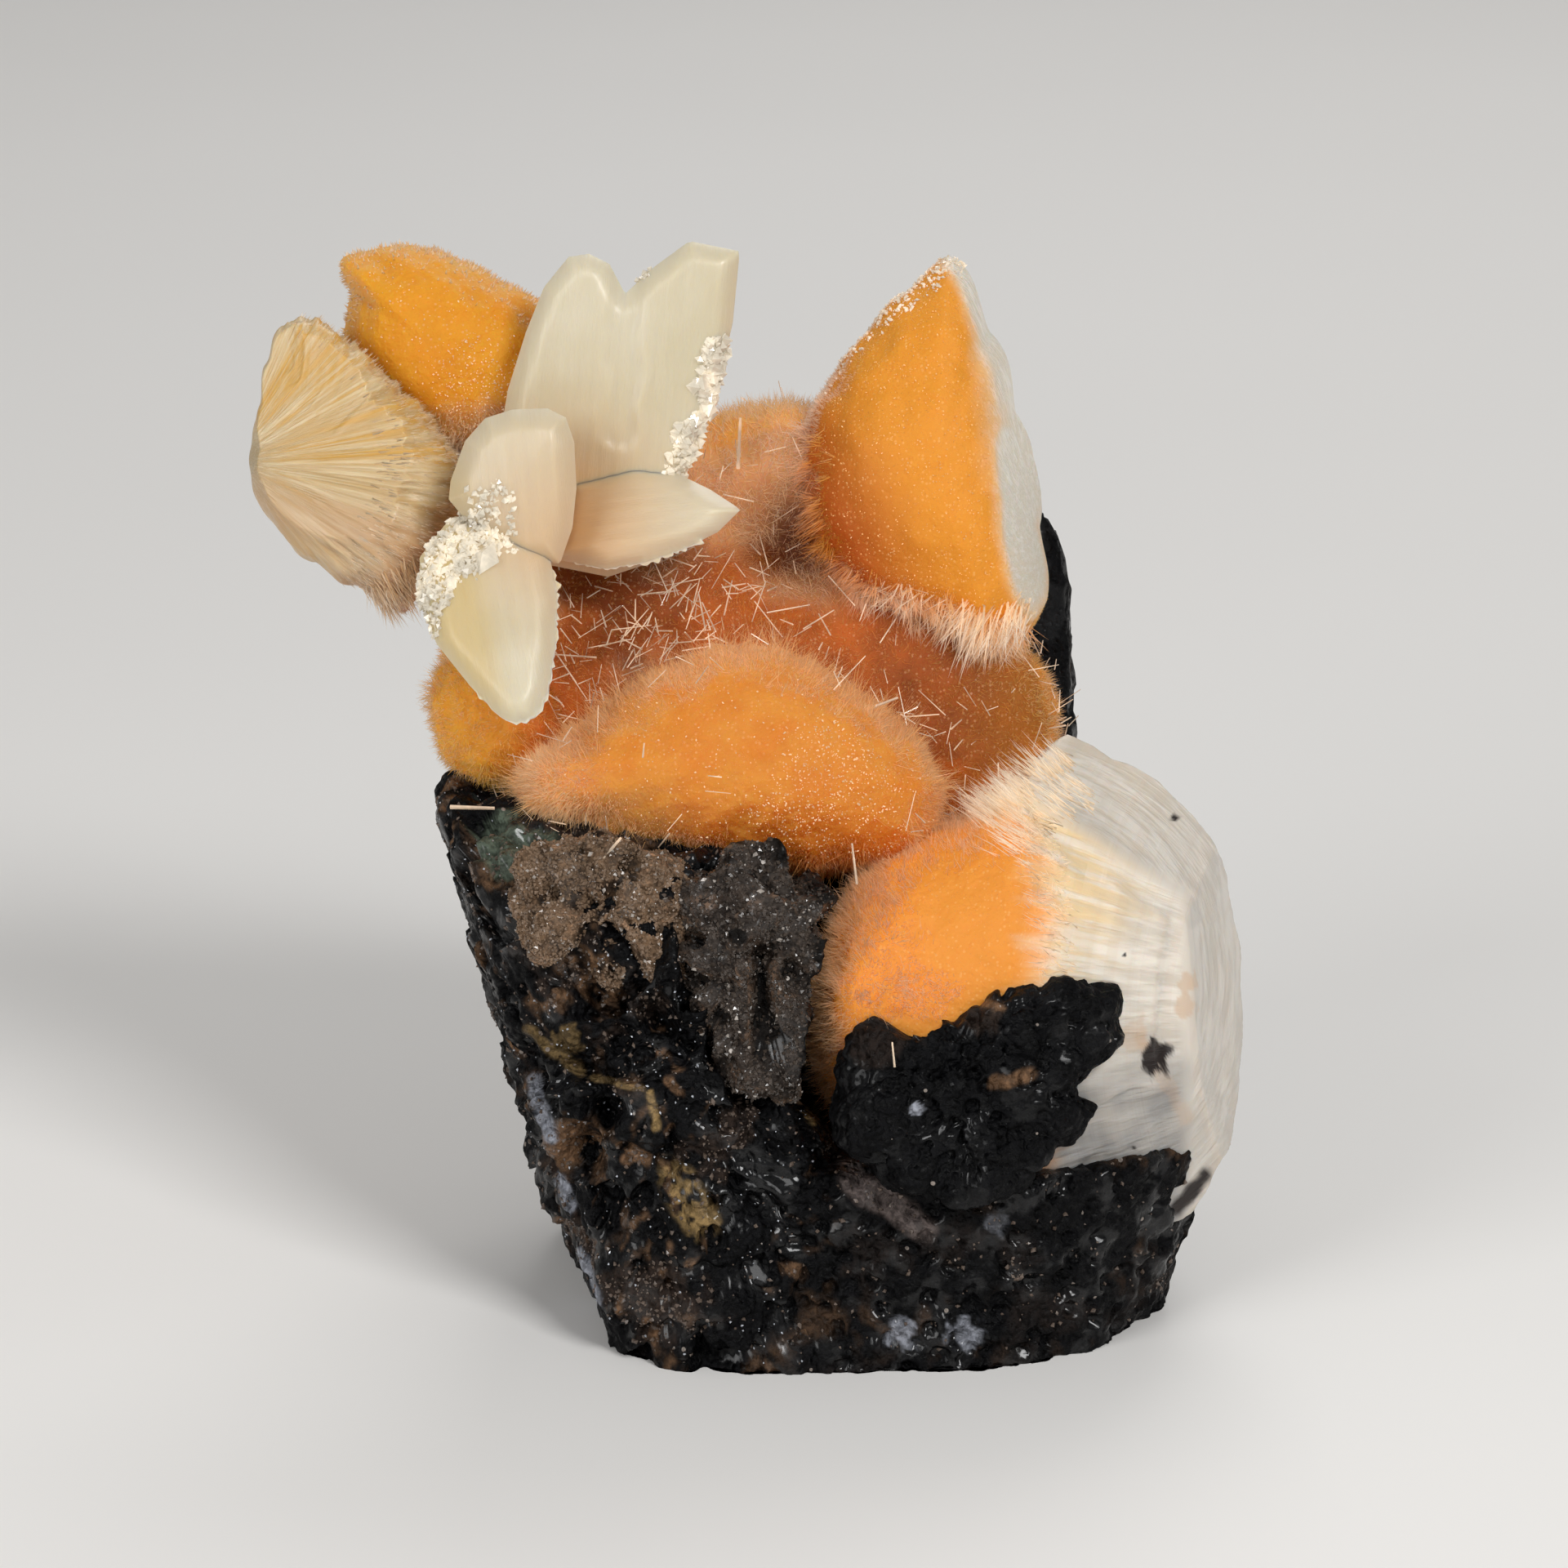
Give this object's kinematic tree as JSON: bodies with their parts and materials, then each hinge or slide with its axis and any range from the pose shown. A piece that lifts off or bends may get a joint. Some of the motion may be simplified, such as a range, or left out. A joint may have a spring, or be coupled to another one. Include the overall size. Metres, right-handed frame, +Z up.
{
  "type": "thomsonite with calcite cluster",
  "caption": "Mineral specimen: velvety orange thomsonite balls and cream calcite crystals on a dark basalt matrix with a flat base.",
  "frame": {"origin": "on the flat base that the specimen stands on, under the middle of the matrix", "axes": "+Z up, the show face towards -Y, +X to the viewer's right"},
  "size_m": [0.0495, 0.0324, 0.0521],
  "materials": {
    "calcite": "translucent cream crystal, smooth faces with a soft gloss, peach towards the roots",
    "thomsonite": "velvety orange balls of fine crystals with clear loose needles",
    "thomsonite_deep": "reddish-brown crystal lining, thick with fine clear needles",
    "thomsonite_broken": "broken ball with pale pearly fibres that radiate from the root",
    "quartz_crust": "grey-brown crust of tiny sparkling crystals",
    "basalt": "rough black vesicular rock with tan rims and small sparkling crystals"
  },
  "bodies": {
    "root": {"calcite_cluster": "calcite", "basalt_flake": "basalt", "thomsonite_centre_dome": "thomsonite", "thomsonite_lower_right_ball": "thomsonite_broken", "thomsonite_upper_right_ball": "thomsonite", "thomsonite_upper_left_ball": "thomsonite", "thomsonite_left_fan": "thomsonite_broken", "thomsonite_lining": "thomsonite_deep", "quartz_crust_left": "quartz_crust", "quartz_crust_right": "quartz_crust", "basalt_matrix": "basalt"}
  },
  "joints": []
}
